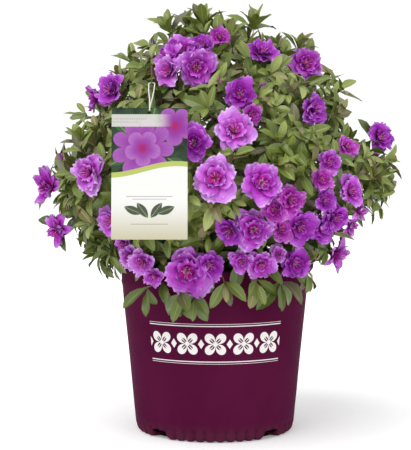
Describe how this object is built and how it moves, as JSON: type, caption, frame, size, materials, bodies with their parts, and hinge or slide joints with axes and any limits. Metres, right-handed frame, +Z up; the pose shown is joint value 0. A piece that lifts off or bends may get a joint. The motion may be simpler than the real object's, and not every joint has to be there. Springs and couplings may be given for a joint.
{
  "type": "potted azalea shrub",
  "caption": "Double-flowered azalea shrub with violet blooms, growing in a burgundy nursery pot, with a plain card label tied to a twig.",
  "frame": {"origin": "middle of the pot's flat underside, on the pot's own axis", "axes": "+Z up along the pot's axis, -Y the front with the label, +X the right as seen from the front"},
  "size_m": [0.5589, 0.5642, 0.6419],
  "materials": {
    "pot_plastic": "satin",
    "potting_mix": "rough",
    "bark": "rough",
    "foliage": "satin",
    "label_card": "satin",
    "tie": "satin"
  },
  "bodies": {
    "root": {"pot": "pot_plastic", "potting_mix": "potting_mix", "stem": "bark", "bough_upper_1": "bark", "bough_upper_2": "bark", "bough_upper_3": "bark", "bough_upper_4": "bark", "bough_upper_5": "bark", "bough_lower_1": "bark", "bough_lower_2": "bark", "bough_lower_3": "bark", "bough_lower_4": "bark", "bough_lower_5": "bark", "bough_lower_6": "bark", "bough_lower_7": "bark", "mass_top": "foliage", "mass_upper_1": "foliage", "mass_upper_2": "foliage", "mass_upper_3": "foliage", "mass_upper_4": "foliage", "mass_upper_5": "foliage", "mass_lower_1": "foliage", "mass_lower_2": "foliage", "mass_lower_3": "foliage", "mass_lower_4": "foliage", "mass_lower_5": "foliage", "mass_lower_6": "foliage", "mass_lower_7": "foliage", "label": "label_card", "label_tie": "tie"}
  },
  "joints": []
}
